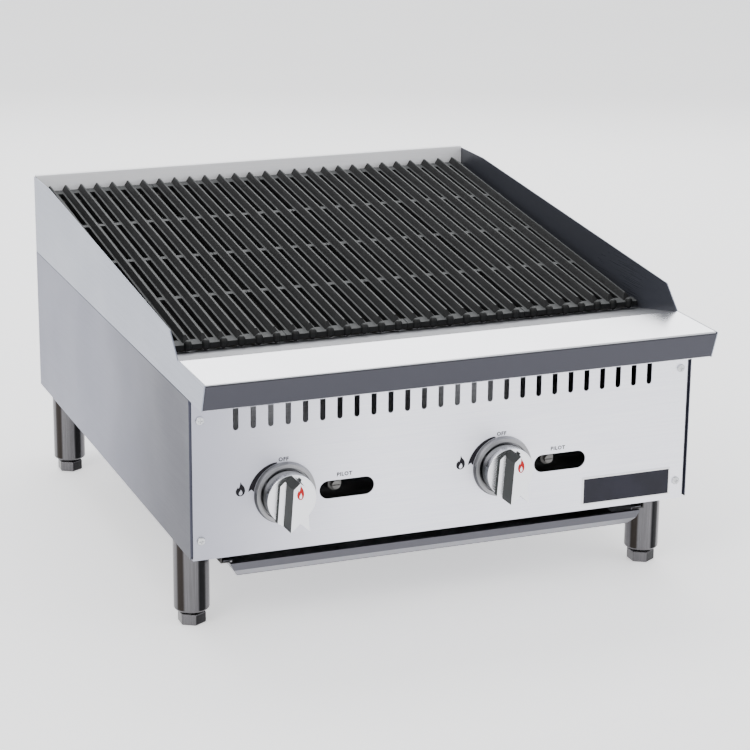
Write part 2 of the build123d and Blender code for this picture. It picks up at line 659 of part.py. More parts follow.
manifold_r = inlet_pipe_r
valve_r = 11.0
valve_ys = (depth(38.0), depth(84.0))
inlet_stub_r = 6.0
for word, x in knob_xs.items():
    axis_z = height(knob_z)
    stem_ys = (depth(-knob_front + 8), valve_ys[0] + 14)
    with BuildPart() as gas_valve:
        rod((x, valve_ys[0], axis_z), (x, valve_ys[1], axis_z), valve_r)
        rod((x, pipe_y, pipe_z + manifold_r - 1.5), (x, pipe_y, axis_z), inlet_stub_r)
        rod((x, pipe_y, pipe_z), (x, pipe_y, pipe_z + manifold_r + 0.02), manifold_r + 5, Mode.SUBTRACT)
        rod((x, valve_ys[0] - 1, axis_z), (x, stem_ys[1] + 0.5, axis_z), stem_r + running_clearance,
            Mode.SUBTRACT)
    gas_valve.part.label = f"gas_valve_{word}"
    export_step(gas_valve.part, f"parts/gas_valve_{word}.step")

    with BuildPart() as valve_stem:
        rod((x, stem_ys[0], axis_z), (x, stem_ys[1], axis_z), stem_r)
        flat_end = depth(-knob_front + 26)
        slab((x - stem_r, x + stem_r), (stem_ys[0] - 1, flat_end), (axis_z + 2.6, axis_z + stem_r + 1),
             Mode.SUBTRACT)
    valve_stem.part.label = f"valve_stem_{word}"
    export_step(valve_stem.part, f"parts/valve_stem_{word}.step")

    with BuildPart() as orifice_hood:
        with BuildSketch(Plane(origin=(x, valve_ys[1], axis_z), x_dir=(1, 0, 0), z_dir=(0, 1, 0))):
            RegularPolygon(7.0, 6)
        extrude(amount=10)
        with BuildSketch(Plane(origin=(x, valve_ys[1] + 10, axis_z), x_dir=(1, 0, 0), z_dir=(0, 1, 0))):
            Circle(5.0)
        extrude(amount=6, taper=18)
        rod((x, valve_ys[1] - 1, axis_z), (x, valve_ys[1] + 18, axis_z), 1.0, Mode.SUBTRACT)
    orifice_hood.part.label = f"orifice_hood_{word}"
    export_step(orifice_hood.part, f"parts/orifice_hood_{word}.step")

    pilot_x = pilot_xs[word]
    pilot_ys = (depth(14.0), depth(pipe_y - front_y + 12))
    pilot_body_r = 8.0
    with BuildPart() as pilot_valve:
        rod((pilot_x, pilot_ys[0] + 6, pilot_z), (pilot_x, pilot_ys[1], pilot_z), pilot_body_r)
        rod((pilot_x, pilot_ys[0], pilot_z), (pilot_x, pilot_ys[0] + 6, pilot_z), 5.0)
        rod((pilot_x, pipe_y, pipe_z + manifold_r - 1.5), (pilot_x, pipe_y, pilot_z), 4.5)
        rod((pilot_x, pipe_y, pipe_z), (pilot_x, pipe_y, pipe_z + manifold_r + 0.02), manifold_r + 5,
            Mode.SUBTRACT)
        slab((pilot_x - 5, pilot_x + 5), (pilot_ys[0] - 1, pilot_ys[0] + 1.6), (pilot_z - 0.6,
                                                                                pilot_z + 0.6),
             Mode.SUBTRACT)
    pilot_valve.part.label = f"pilot_valve_{word}"
    export_step(pilot_valve.part, f"parts/pilot_valve_{word}.step")

    pilot_burner_y = depth(burner_front + 20)
    pilot_top = height(knob_z + 24)
    with BuildPart() as pilot_tube:
        with BuildLine():
            route = FilletPolyline((pilot_x, pilot_ys[1], pilot_z), (pilot_x, pilot_burner_y, pilot_z),
                                   (pilot_x, pilot_burner_y, pilot_top), radius=12)
        with BuildSketch(Plane(origin=(pilot_x, pilot_ys[1], pilot_z), z_dir=(0, 1, 0))):
            Circle(pilot_tube_r)
        sweep(path=route)
    pilot_tube.part.label = f"pilot_tube_{word}"
    export_step(pilot_tube.part, f"parts/pilot_tube_{word}.step")

    with BuildPart() as pilot_burner:
        rod((pilot_x, pilot_burner_y, pilot_top), (pilot_x, pilot_burner_y, pilot_top + 10), 5.0)
        rod((pilot_x, pilot_burner_y, pilot_top + 10), (pilot_x, pilot_burner_y, pilot_top + 12), 9.0)
        rod((pilot_x, pilot_burner_y, pilot_top + 2), (pilot_x, pilot_burner_y, pilot_top + 9), 2.0,
            Mode.SUBTRACT)
    pilot_burner.part.label = f"pilot_burner_{word}"
    export_step(pilot_burner.part, f"parts/pilot_burner_{word}.step")

manifold_left = knob_xs["left"] - 30
elbow_half = 16.0
with BuildPart() as manifold:
    rod((manifold_left, pipe_y, pipe_z), (pipe_x - elbow_half, pipe_y, pipe_z), manifold_r)
    rod((manifold_left + 6, pipe_y, pipe_z), (pipe_x - elbow_half + 1, pipe_y, pipe_z),
        manifold_r - inlet_pipe_wall, Mode.SUBTRACT)
manifold.part.label = "manifold"
export_step(manifold.part, "parts/manifold.step")

with BuildPart() as supply_pipe:
    rod((pipe_x - elbow_half, pipe_y, pipe_z), (pipe_x, pipe_y, pipe_z), manifold_r)
    with Locations((pipe_x, pipe_y, pipe_z)):
        Sphere(manifold_r)
    rod((pipe_x, pipe_y, pipe_z), (pipe_x, rear_y + inlet_out, pipe_z), inlet_pipe_r)
    with BuildSketch(Plane(origin=(pipe_x, rear_y + fit_gap, pipe_z), x_dir=(1, 0, 0), z_dir=(0, 1, 0))):
        RegularPolygon(lock_nut_r, 6, major_radius=False, rotation=30)
    extrude(amount=lock_nut_h)
    rod((pipe_x, pipe_y, pipe_z), (pipe_x, rear_y + inlet_out + 1, pipe_z), inlet_pipe_r - inlet_pipe_wall,
        Mode.SUBTRACT)
    rod((pipe_x - elbow_half - 1, pipe_y, pipe_z), (pipe_x, pipe_y, pipe_z), inlet_pipe_r - inlet_pipe_wall,
        Mode.SUBTRACT)
supply_pipe.part.label = "supply_pipe"
export_step(supply_pipe.part, "parts/supply_pipe.step")

# ------------------------------------------------ knobs and bezels

skirt_wall = 2.5
skirt_rear = depth(-1.0)
disc_y = depth(-knob_front)
for word, x in knob_xs.items():
    axis_z = height(knob_z)
    with BuildPart() as knob_bezel:
        with BuildSketch(Plane(origin=(x, panel_face, axis_z), x_dir=(1, 0, 0), z_dir=(0, -1, 0))):
            Circle(bezel_r)
        extrude(amount=bezel_depth, taper=14)
        rod((x, panel_face - 1.5, axis_z), (x, panel_face - bezel_depth - 1, axis_z), knob_r + 1.6,
            Mode.SUBTRACT)
        rod((x, panel_face + 1, axis_z), (x, panel_face - 2, axis_z), stem_hole_r, Mode.SUBTRACT)
    knob_bezel.part.label = f"knob_bezel_{word}"
    export_step(knob_bezel.part, f"parts/knob_bezel_{word}.step")

    with BuildPart() as knob:
        rod((x, skirt_rear, axis_z), (x, disc_y, axis_z), knob_r)
        rims = knob.edges().filter_by(GeomType.CIRCLE).sort_by(Axis.Y)[0]
        fillet(rims, 0.8)
        rod((x, skirt_rear + 1, axis_z), (x, disc_y + 3, axis_z), knob_r - skirt_wall, Mode.SUBTRACT)
        rod((x, skirt_rear, axis_z), (x, disc_y + 2, axis_z), 8.0)
        # grip bar: narrow face, stepped foot, wider towards the tail
        with BuildPart(mode=Mode.PRIVATE) as bar:
            ends = ((-bar_tip - 2, bar_tail_face, bar_tail_foot), (bar_peak + 2, bar_top_face, bar_top_foot))
            for z, face_half, foot_half in ends:
                with BuildSketch(Plane.XY.offset(axis_z + z)):
                    outline((x - foot_half, disc_y + 0.5), (x - foot_half + 1.5, disc_y - bar_step + 1),
                            (x - face_half - bar_wall_lean, disc_y - bar_step),
                            (x - face_half, disc_y - bar_height), (x + face_half, disc_y - bar_height),
                            (x + face_half + bar_wall_lean, disc_y - bar_step),
                            (x + foot_half - 1.5, disc_y - bar_step + 1), (x + foot_half, disc_y + 0.5))
            loft()
            # roof-shaped top and swallow-tailed lower end
            with BuildSketch(Plane.XZ.offset(-disc_y - 1)):
                outline((x - bar_tail_face, axis_z - bar_tip), (x, axis_z - bar_notch),
                        (x + bar_tail_face, axis_z - bar_tip), (x + bar_tail_foot + 1, axis_z - bar_waist),
                        (x + bar_top_foot + 1, axis_z + bar_eaves - 4),
                        (x + bar_top_foot - 6, axis_z + bar_eaves + 3),
                        (x + bar_top_face + bar_wall_lean, axis_z + bar_eaves), (x, axis_z + bar_peak),
                        (x - bar_top_face - bar_wall_lean, axis_z + bar_eaves),
                        (x - bar_top_foot + 6, axis_z + bar_eaves + 3),
                        (x - bar_top_foot - 1, axis_z + bar_eaves - 4),
                        (x - bar_tail_foot - 1, axis_z - bar_waist))
            extrude(amount=bar_height + 6, mode=Mode.INTERSECT)
        add(bar.part)
        # D-shaped socket for the stem
        rod((x, skirt_rear + 1, axis_z), (x, depth(-knob_front + 7.5), axis_z), stem_r + running_clearance,
            Mode.SUBTRACT)
        slab((x - stem_r - 1, x + stem_r + 1), (depth(-knob_front + 7), skirt_rear),
             (axis_z + 2.7, axis_z + stem_r + 1.5))
    knob.part.label = f"knob_{word}"
    export_step(knob.part, f"parts/knob_{word}.step")

# ------------------------------------------------ drip tray

tray_edge_z = height(-tray_top)
tray_floor_z = tray_edge_z - tray_depth
flange_out = runner_outer - sheet - tray_side_clearance
wall_low_half = wall_top_half - tray_flare
flange_z = runner_top + tray_slide_clearance
with BuildPart() as drip_tray:
    section_ys = (depth(tray_front), depth(tray_rear))
    with BuildSketch(Plane.XZ.offset(-section_ys[1])):
        outline((-flange_out, flange_z), (-wall_top_half, flange_z), (-wall_low_half, tray_floor_z),
                (wall_low_half, tray_floor_z), (wall_top_half, flange_z), (flange_out, flange_z),
                (flange_out, flange_z + tray_sheet), (wall_top_half - tray_sheet, flange_z + tray_sheet),
                (wall_low_half - tray_sheet, tray_floor_z + tray_sheet),
                (-wall_low_half + tray_sheet, tray_floor_z + tray_sheet),
                (-wall_top_half + tray_sheet, flange_z + tray_sheet), (-flange_out, flange_z + tray_sheet))
    extrude(amount=section_ys[1] - section_ys[0] - 11)
    slab((-wall_low_half, wall_low_half), (section_ys[1] - tray_sheet, section_ys[1]),
         (tray_floor_z, flange_z + tray_sheet))
    # two-facet front: near-upright upper facet, then a facet that runs back under to the floor
    front_run = [(section_ys[0] + 5, tray_edge_z + 0.5), (section_ys[0], tray_edge_z),
                 (section_ys[0] + 2, tray_edge_z - 9.5),
                 (section_ys[0] + 11.5, tray_floor_z + tray_sheet / 2)]
    with BuildSketch(Plane.YZ.offset(-tray_half_width)):
        outline(front_run[1], front_run[2], (front_run[3][0], tray_floor_z),
                (front_run[3][0] + 1.4, tray_floor_z + tray_sheet),
                (front_run[2][0] + tray_sheet, front_run[2][1] + 0.4),
                (front_run[1][0] + tray_sheet, front_run[1][1] - tray_sheet),
                (front_run[1][0] + 6, front_run[1][1] - tray_sheet), (front_run[1][0] + 6, front_run[1][1]))
    extrude(amount=2 * tray_half_width)
    # the lower facet's ends are cut back to the leaning walls
    for side in (-1, 1):
        with BuildSketch(Plane.XZ.offset(-section_ys[0] + 5)):
            outline((side * (tray_half_width + 1), tray_edge_z - 3),
                    (side * (tray_half_width - 1), tray_edge_z - 3),
                    (side * (tray_half_width - 4), tray_edge_z - 9.5),
                    (side * wall_low_half, tray_floor_z - 1),
                    (side * (tray_half_width + 1), tray_floor_z - 1))
        extrude(amount=-24, mode=Mode.SUBTRACT)
    for side in (-1, 1):
        slab((side * (wall_top_half - tray_sheet - 0.5), side * flange_out),
             (section_ys[0] + 9, section_ys[0] + 12), (flange_z, flange_z + tray_sheet))
drip_tray.part.label = "drip_tray"
export_step(drip_tray.part, "parts/drip_tray.step")

# ------------------------------------------------ legs, feet and their bolts

tube_low = foot_height + foot_neck  # the tube's lower face above the floor
for row, y in leg_ys.items():
    for side, word in SIDES:
        x = side * leg_x
        with BuildPart() as leg:
            rod((x, y, tube_low), (x, y, base_z), leg_r)
            fillet(leg.edges().filter_by(GeomType.CIRCLE).sort_by(Axis.Z)[0], 3.0)
            rod((x, y, tube_low + foot_stud + 3), (x, y, base_z - leg_cap), leg_r - leg_tube_wall,
                Mode.SUBTRACT)
            rod((x, y, tube_low - 1), (x, y, tube_low + foot_stud + 4), foot_stud_r + running_clearance,
                Mode.SUBTRACT)
            rod((x, y, base_z - leg_cap - 1), (x, y, base_z + 1), bolt_r, Mode.SUBTRACT)
        leg.part.label = f"leg_{row}_{word}"
        export_step(leg.part, f"parts/leg_{row}_{word}.step")

        with BuildPart() as foot:
            with BuildSketch(Plane.XY):
                with Locations((x, y)):
                    RegularPolygon(foot_across_flats / 2, 6, major_radius=False, rotation=30)
            extrude(amount=foot_height)
            chamfer(foot.edges().group_by(Axis.Z)[-1], 1.2)
            chamfer(foot.edges().group_by(Axis.Z)[0], 1.0)
            rod((x, y, foot_height - 0.5), (x, y, tube_low), foot_neck_r)
            rod((x, y, tube_low - 0.5), (x, y, tube_low + foot_stud), foot_stud_r)
        foot.part.label = f"foot_{row}_{word}"
        export_step(foot.part, f"parts/foot_{row}_{word}.step")

with BuildPart() as leg_bolts:
    for y in leg_ys.values():
        for side, word in SIDES:
            with BuildSketch(Plane.XY.offset(height(rail_plate))):
                with Locations((side * leg_x, y)):
                    RegularPolygon(bolt_head_r, 6, major_radius=False)
            extrude(amount=bolt_head_h)
            rod((side * leg_x, y, base_z - leg_cap + 1), (side * leg_x, y, height(rail_plate + 0.5)), bolt_r)
leg_bolts.part.label = "leg_bolts"
export_step(leg_bolts.part, "parts/leg_bolts.step")
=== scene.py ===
"""Looks for a countertop gas charbroiler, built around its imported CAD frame.

Metres. +X is to the right of a person facing the control panel, +Y runs to the rear, +Z is up.
"""

import logging
import math
from dataclasses import dataclass, field
from enum import Enum
from typing import Iterable, Sequence, Union

import bpy
from mathutils import Matrix, Vector

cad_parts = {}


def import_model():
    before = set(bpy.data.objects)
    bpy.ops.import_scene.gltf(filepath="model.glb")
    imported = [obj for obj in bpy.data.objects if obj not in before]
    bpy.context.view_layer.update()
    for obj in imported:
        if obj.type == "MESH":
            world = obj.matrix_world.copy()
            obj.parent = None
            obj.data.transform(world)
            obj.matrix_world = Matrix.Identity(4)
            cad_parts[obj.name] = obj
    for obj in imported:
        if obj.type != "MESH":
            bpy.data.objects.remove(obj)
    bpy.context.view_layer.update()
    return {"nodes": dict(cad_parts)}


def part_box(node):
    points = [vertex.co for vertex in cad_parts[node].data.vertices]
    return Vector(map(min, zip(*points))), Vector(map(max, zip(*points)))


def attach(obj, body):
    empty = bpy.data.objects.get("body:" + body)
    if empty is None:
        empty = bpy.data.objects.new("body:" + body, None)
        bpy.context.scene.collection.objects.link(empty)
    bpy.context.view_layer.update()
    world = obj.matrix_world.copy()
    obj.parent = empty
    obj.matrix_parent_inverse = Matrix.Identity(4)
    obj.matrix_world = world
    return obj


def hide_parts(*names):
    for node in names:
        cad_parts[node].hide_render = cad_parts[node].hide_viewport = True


LOG = logging.getLogger("charbroiler")
MM = 0.001

Point = tuple[float, float, float]
Colour = tuple[float, float, float]
# A painted shade: (direction, low, high, colour), a darker colour painted on the faces that look one way in
# the scene.
PaintedShade = tuple[Point, float, float, Colour]
Feed = Union[bpy.types.NodeSocket, float, Colour]

MERGE_DISTANCE = 0.00001
FLAT_DEGREES = 0.5
SMOOTH_DEGREES = 32.0
FLAT_WEIGHT = 100
LETTER_SPACING = 1.15
LETTER_STEPS = 3


# ---------------------------------------------------------------- node trees


class Nodes:
    """A thin layer over a node tree that keeps each material's recipe short."""

    def __init__(self, tree: bpy.types.NodeTree) -> None:
        """Starts from an emptied tree.

        Args:
            tree: the node tree of a material, a world or a group.
        """
        self.tree = tree
        tree.nodes.clear()

    def add(self, kind: str, values: dict | None = None, **settings) -> bpy.types.Node:
        """Adds a node.

        Args:
            kind: the node's type, without the ShaderNode prefix.
            values: socket values, by socket name or index; a socket is linked instead of set.
            settings: plain attributes of the node.

        Returns:
            The new node.
        """
        prefix = "" if kind.startswith("NodeGroup") else "ShaderNode"
        node = self.tree.nodes.new(prefix + kind)
        for name, value in settings.items():
            setattr(node, name, value)
        for name, value in (values or {}).items():
            if isinstance(value, bpy.types.NodeSocket):
                self.tree.links.new(value, node.inputs[name])
            else:
                node.inputs[name].default_value = value
        return node

    def math(self, operation: str, first: Feed, second: Feed = 0.0,
             clamp: bool = False) -> bpy.types.NodeSocket:
        """Adds a Math node.

        Args:
            operation: the node's operation.
            first: its first value, a number or a socket.
            second: its second value.
            clamp: whether the result is kept within 0 to 1.

        Returns:
            The node's output.
        """
        return self.add("Math", {0: first, 1: second}, operation=operation, use_clamp=clamp).outputs[0]

    def ramp(self, value: Feed, low: Feed, high: Feed, start: float = 0.0,
             end: float = 1.0) -> bpy.types.NodeSocket:
        """Maps low..high smoothly to start..end.

        Args:
            value: the value to map.
            low: where the change starts.
            high: where it ends.
            start: the result at low.
            end: the result at high.

        Returns:
            The mapped value.
        """
        limits = {"From Min": low, "From Max": high, "To Min": start, "To Max": end}
        return self.add("MapRange", {"Value": value, **limits}, interpolation_type="SMOOTHSTEP").outputs[0]

    def mix(self, amount: Feed, first: Feed, second: Feed) -> bpy.types.NodeSocket:
        """Mixes two colours.

        Args:
            amount: the second colour's share.
            first: the colour at 0.
            second: the colour at 1.

        Returns:
            The mixed colour.
        """
        node = self.add("Mix", data_type="RGBA")
        for index, value in ((0, amount), (6, first), (7, second)):
            if isinstance(value, bpy.types.NodeSocket):
                self.tree.links.new(value, node.inputs[index])
            else:
                node.inputs[index].default_value = (*value, 1.0) if isinstance(value, tuple) else value
        return node.outputs[2]

    def group(self, tree: bpy.types.NodeTree, **values) -> bpy.types.Node:
        """Places a shared node group.

        Args:
            tree: the group.
            values: its inputs, each a value or a socket.

        Returns:
            The group's node.
        """
        node = self.tree.nodes.new("ShaderNodeGroup")
        node.node_tree = tree
        for name, value in values.items():
            socket = node.inputs[name]
            if isinstance(value, bpy.types.NodeSocket):
                self.tree.links.new(value, socket)
            else:
                socket.default_value = value
        return node

    def finish(self, shader: bpy.types.Node, output: str = "OutputMaterial") -> None:
        """Joins a shader to a new output node.

        Args:
            shader: the shader's node.
            output: the output node's type, without the ShaderNode prefix.
        """
        self.tree.links.new(shader.outputs[0], self.add(output).inputs[0])


def new_material(name: str) -> tuple[bpy.types.Material, Nodes]:
    """Makes an empty material.

    Args:
        name: the material's name.

    Returns:
        The material and its nodes.
    """
    material = bpy.data.materials.new(name)
    material.use_nodes = True
    return material, Nodes(material.node_tree)


def new_group(name: str, inputs: Sequence[tuple[str, str, object]],
              outputs: Sequence[tuple[str, str]]) -> Nodes:
    """Opens a shader node group with its sockets made.

    Args:
        name: the group's name.
        inputs: (name, socket type, default) for each input.
        outputs: (name, socket type) for each output.

    Returns:
        The group's nodes, with a group input and a group output placed first.
    """
    tree = bpy.data.node_groups.new(name, "ShaderNodeTree")
    for label, kind, default in inputs:
        socket = tree.interface.new_socket(label, in_out="INPUT", socket_type=kind)
        socket.default_value = default
    for label, kind in outputs:
        tree.interface.new_socket(label, in_out="OUTPUT", socket_type=kind)
    nodes = Nodes(tree)
    nodes.add("NodeGroupInput")
    nodes.add("NodeGroupOutput")
    return nodes


class Effects:
    """The surface effects that several finishes share, each a node group built once."""

    def __init__(self) -> None:
        """Builds every group."""
        self.grain = self._grain()
        self.cloud = self._cloud()
        self.band = self._band()
        self.facing = self._facing()

    @staticmethod
    def _ends(nodes: Nodes) -> tuple[bpy.types.Node, bpy.types.Node]:
        """Finds a group's input and output nodes."""
        found = {node.bl_idname: node for node in nodes.tree.nodes}
        return found["NodeGroupInput"], found["NodeGroupOutput"]

    def _grain(self) -> bpy.types.NodeTree:
        """Fine brushed lines: a noise stretched along one axis, from 0 to 1."""
        nodes = new_group("brushed grain", [("Stretch", "NodeSocketVector", (1.0, 1.0, 1.0)),
                                            ("Fineness", "NodeSocketFloat", 1.0)],
                          [("Value", "NodeSocketFloat")])
        start, end = self._ends(nodes)
        place = nodes.add("TexCoord").outputs["Object"]
        stretched = nodes.add("VectorMath", {0: place, 1: start.outputs["Stretch"]},
                              operation="MULTIPLY").outputs[0]
        noise = nodes.add("TexNoise", {"Vector": stretched, "Scale": start.outputs["Fineness"],
                                       "Detail": 4.0, "Roughness": 0.65})
        nodes.tree.links.new(noise.outputs["Fac"], end.inputs["Value"])
        return nodes.tree

    def _cloud(self) -> bpy.types.NodeTree:
        """Slow uneven patches, from 0 to 1, for handling marks and casting colour."""
        nodes = new_group("uneven patches", [("Scale", "NodeSocketFloat", 8.0)],
                          [("Value", "NodeSocketFloat")])
        start, end = self._ends(nodes)
        place = nodes.add("TexCoord").outputs["Object"]
        noise = nodes.add("TexNoise", {"Vector": place, "Scale": start.outputs["Scale"], "Detail": 3.0,
                                       "Roughness": 0.55})
        spread = nodes.ramp(noise.outputs["Fac"], 0.3, 0.7)
        nodes.tree.links.new(spread, end.inputs["Value"])
        return nodes.tree

    def _band(self) -> bpy.types.NodeTree:
        """A soft mask that rises from 0 to 1 as the place along an axis passes from Low to High."""
        nodes = new_group("band along an axis", [("Axis", "NodeSocketVector", (0.0, 0.0, 1.0)),
                                                 ("Low", "NodeSocketFloat", 0.0),
                                                 ("High", "NodeSocketFloat", 1.0)],
                          [("Value", "NodeSocketFloat")])
        start, end = self._ends(nodes)
        place = nodes.add("TexCoord").outputs["Object"]
        along = nodes.add("VectorMath", {0: place, 1: start.outputs["Axis"]},
                          operation="DOT_PRODUCT").outputs["Value"]
        rise = nodes.ramp(along, start.outputs["Low"], start.outputs["High"])
        nodes.tree.links.new(rise, end.inputs["Value"])
        return nodes.tree

    def _facing(self) -> bpy.types.NodeTree:
        """How squarely the surface faces a direction in the scene, from 0 to 1."""
        nodes = new_group("facing", [("Direction", "NodeSocketVector", (0.0, 0.0, 1.0))],
                          [("Value", "NodeSocketFloat")])
        start, end = self._ends(nodes)
        normal = nodes.add("NewGeometry").outputs["Normal"]
        toward = nodes.add("VectorMath", {0: normal, 1: start.outputs["Direction"]},
                           operation="DOT_PRODUCT").outputs["Value"]
        kept = nodes.math("MAXIMUM", toward, 0.0)
        nodes.tree.links.new(kept, end.inputs["Value"])
        return nodes.tree


# ---------------------------------------------------------------- finishes


class Lay(Enum):
    """Which way a brushed surface's lines run, as the stretch of the grain noise."""

    UPRIGHT = (900.0, 900.0, 14.0)
    ALONG_WIDTH = (14.0, 900.0, 900.0)
    ALONG_DEPTH = (900.0, 14.0, 900.0)


def paint_shade_by_facing(nodes: Nodes, effects: Effects, colour: bpy.types.NodeSocket,
                turned: Sequence[PaintedShade]) -> bpy.types.NodeSocket:
    """Paints a darker colour onto the faces that look a certain way in the scene, as painted shade and
    painted reflections.

    Args:
        nodes: the material's nodes.
        effects: the shared groups.
        colour: the colour so far.
        turned: (direction, low, high, colour) for each painted shade, which fades in from low to high.

    Returns:
        The colour with every painted shade laid over it.
    """
    # Each painted shade darkens the faces turned towards its direction.
    for direction, low, high, painted_colour in turned:
        facing = nodes.group(effects.facing, Direction=direction).outputs[0]
        colour = nodes.mix(nodes.ramp(facing, low, high), colour, painted_colour)
    return colour


@dataclass(frozen=True)
class Brushed:
    """Brushed stainless or mill-finish sheet.

    The colour may fade along shade_axis into a painted shade; turned paints shade and reflections onto faces
    by direction, and the faces of the first of these lose metal.
    """

    name: str
    colour: Colour
    lay: Lay = Lay.UPRIGHT
    roughness: float = 0.36
    metallic: float = 1.0
    contrast: float = 0.10
    # Painted shade: the colour fades to shade_colour towards one end along shade_axis.
    shade_axis: Point = (0.0, 0.0, 1.0)
    shade_from: float = 0.0
    shade_to: float = 1.0
    shade_colour: Colour | None = None
    # Painted shade and painted reflections on faces by direction, and how much metal the first one's faces
    # lose.
    turned: tuple[PaintedShade, ...] = ()
    painted_shade_metal_cut: float = 0.0
    patch_scale: float = 7.0
    grain_rough: float = 0.12
    patch_rough: float = 0.05
    grain_strength: float = 0.08
    grain_depth: float = 0.0004

    def build(self, effects: Effects) -> bpy.types.Material:
        """Makes the material: grain in colour, roughness and height, patches in roughness.

        Args:
            effects: the shared groups.

        Returns:
            The material.
        """
        material, nodes = new_material(self.name)
        grain = nodes.group(effects.grain, Stretch=self.lay.value, Fineness=1.0).outputs[0]
        patch = nodes.group(effects.cloud, Scale=self.patch_scale).outputs[0]
        dark = tuple(c * (1 - self.contrast) for c in self.colour)
        light = tuple(min(1.0, c * (1 + self.contrast)) for c in self.colour)
        colour = nodes.mix(nodes.ramp(grain, 0.3, 0.7), dark, light)
        # Painted shade, darker towards one end of the piece.
        if self.shade_colour is not None:
            band = nodes.group(effects.band, Axis=self.shade_axis, Low=self.shade_from, High=self.shade_to)
            colour = nodes.mix(band.outputs[0], self.shade_colour, colour)
        colour = paint_shade_by_facing(nodes, effects, colour, self.turned)
        rough = nodes.math("ADD", nodes.math("MULTIPLY", grain, self.grain_rough),
                           self.roughness - self.grain_rough / 2)
        rough = nodes.math("ADD", rough, nodes.math("MULTIPLY", patch, self.patch_rough))
        bump = nodes.add("Bump", {"Height": grain, "Strength": self.grain_strength,
                                  "Distance": self.grain_depth})
        metal = self.metallic
        # Faces under the first painted shade lose metal, so that the painted dark colour shows.
        if self.painted_shade_metal_cut:
            direction, low, high, _ = self.turned[0]
            facing = nodes.group(effects.facing, Direction=direction).outputs[0]
            metal = nodes.ramp(facing, low, high, self.metallic, self.metallic * (1 - self.painted_shade_metal_cut))
        shader = nodes.add("BsdfPrincipled", {"Base Color": colour, "Roughness": rough,
                                              "Normal": bump.outputs[0], "Metallic": metal})
        nodes.finish(shader)
        return material


@dataclass(frozen=True)
class Cast:
    """Cast iron: grainy, uneven, with its upper faces and crests lighter, as painted highlight and wear.

    slope_degrees is how far the casting's top leans towards the front, and the crest is what lies past
    crest_low to crest_high along its upward direction; the first values leave no crest.
    """

    name: str
    colour: Colour
    # Lighter colour for upper faces and crests: painted highlight and wear.
    crest_colour: Colour
    slope_degrees: float = 0.0
    crest_low: float = 10.0
    crest_high: float = 11.0
    roughness: float = 0.55
    specular: float = 0.25
    sand_scale: float = 900.0
    pit_scale: float = 420.0
    patch_scale: float = 22.0
    deep: float = 0.72
    pale: float = 1.35
    upward_low: float = 0.75
    upward_high: float = 0.98
    upward_share: float = 0.35
    sand_rough: float = 0.2
    pit_share: float = 0.5
    sand_strength: float = 0.35
    sand_depth: float = 0.0006

    def build(self, effects: Effects) -> bpy.types.Material:
        """Makes the material.

        Args:
            effects: the shared groups.

        Returns:
            The material.
        """
        material, nodes = new_material(self.name)
        place = nodes.add("TexCoord").outputs["Object"]
        sand = nodes.add("TexNoise", {"Vector": place, "Scale": self.sand_scale, "Detail": 3.0,
                                      "Roughness": 0.6}).outputs["Fac"]
        pits = nodes.add("TexVoronoi", {"Vector": place, "Scale": self.pit_scale}).outputs["Distance"]
        patch = nodes.group(effects.cloud, Scale=self.patch_scale).outputs[0]
        deep = tuple(c * self.deep for c in self.colour)
        pale = tuple(c * self.pale for c in self.colour)
        colour = nodes.mix(patch, deep, pale)
        lean = math.radians(self.slope_degrees)
        up = (0.0, -math.sin(lean), math.cos(lean))
        crest = nodes.group(effects.band, Axis=up, Low=self.crest_low, High=self.crest_high).outputs[0]
        facing = nodes.group(effects.facing, Direction=up).outputs[0]
        # Upward faces and crests lighter: painted highlight and wear.
        highlight_and_wear = nodes.math("MULTIPLY", nodes.ramp(facing, self.upward_low, self.upward_high),
                          nodes.math("ADD", crest, self.upward_share, clamp=True))
        highlight_and_wear = nodes.math("MULTIPLY", highlight_and_wear, nodes.ramp(sand, 0.25, 0.6, 0.55, 1.0))
        colour = nodes.mix(highlight_and_wear, colour, self.crest_colour)
        rough = nodes.math("ADD", nodes.math("MULTIPLY", sand, self.sand_rough),
                           self.roughness - self.sand_rough / 2)
        height = nodes.math("ADD", sand, nodes.math("MULTIPLY", pits, self.pit_share))
        bump = nodes.add("Bump", {"Height": height, "Strength": self.sand_strength,
                                  "Distance": self.sand_depth})
        shader = nodes.add("BsdfPrincipled", {"Base Color": colour, "Roughness": rough,
                                              "Normal": bump.outputs[0], "Metallic": 0.0,
                                              "Specular IOR Level": self.specular})
        nodes.finish(shader)
        return material


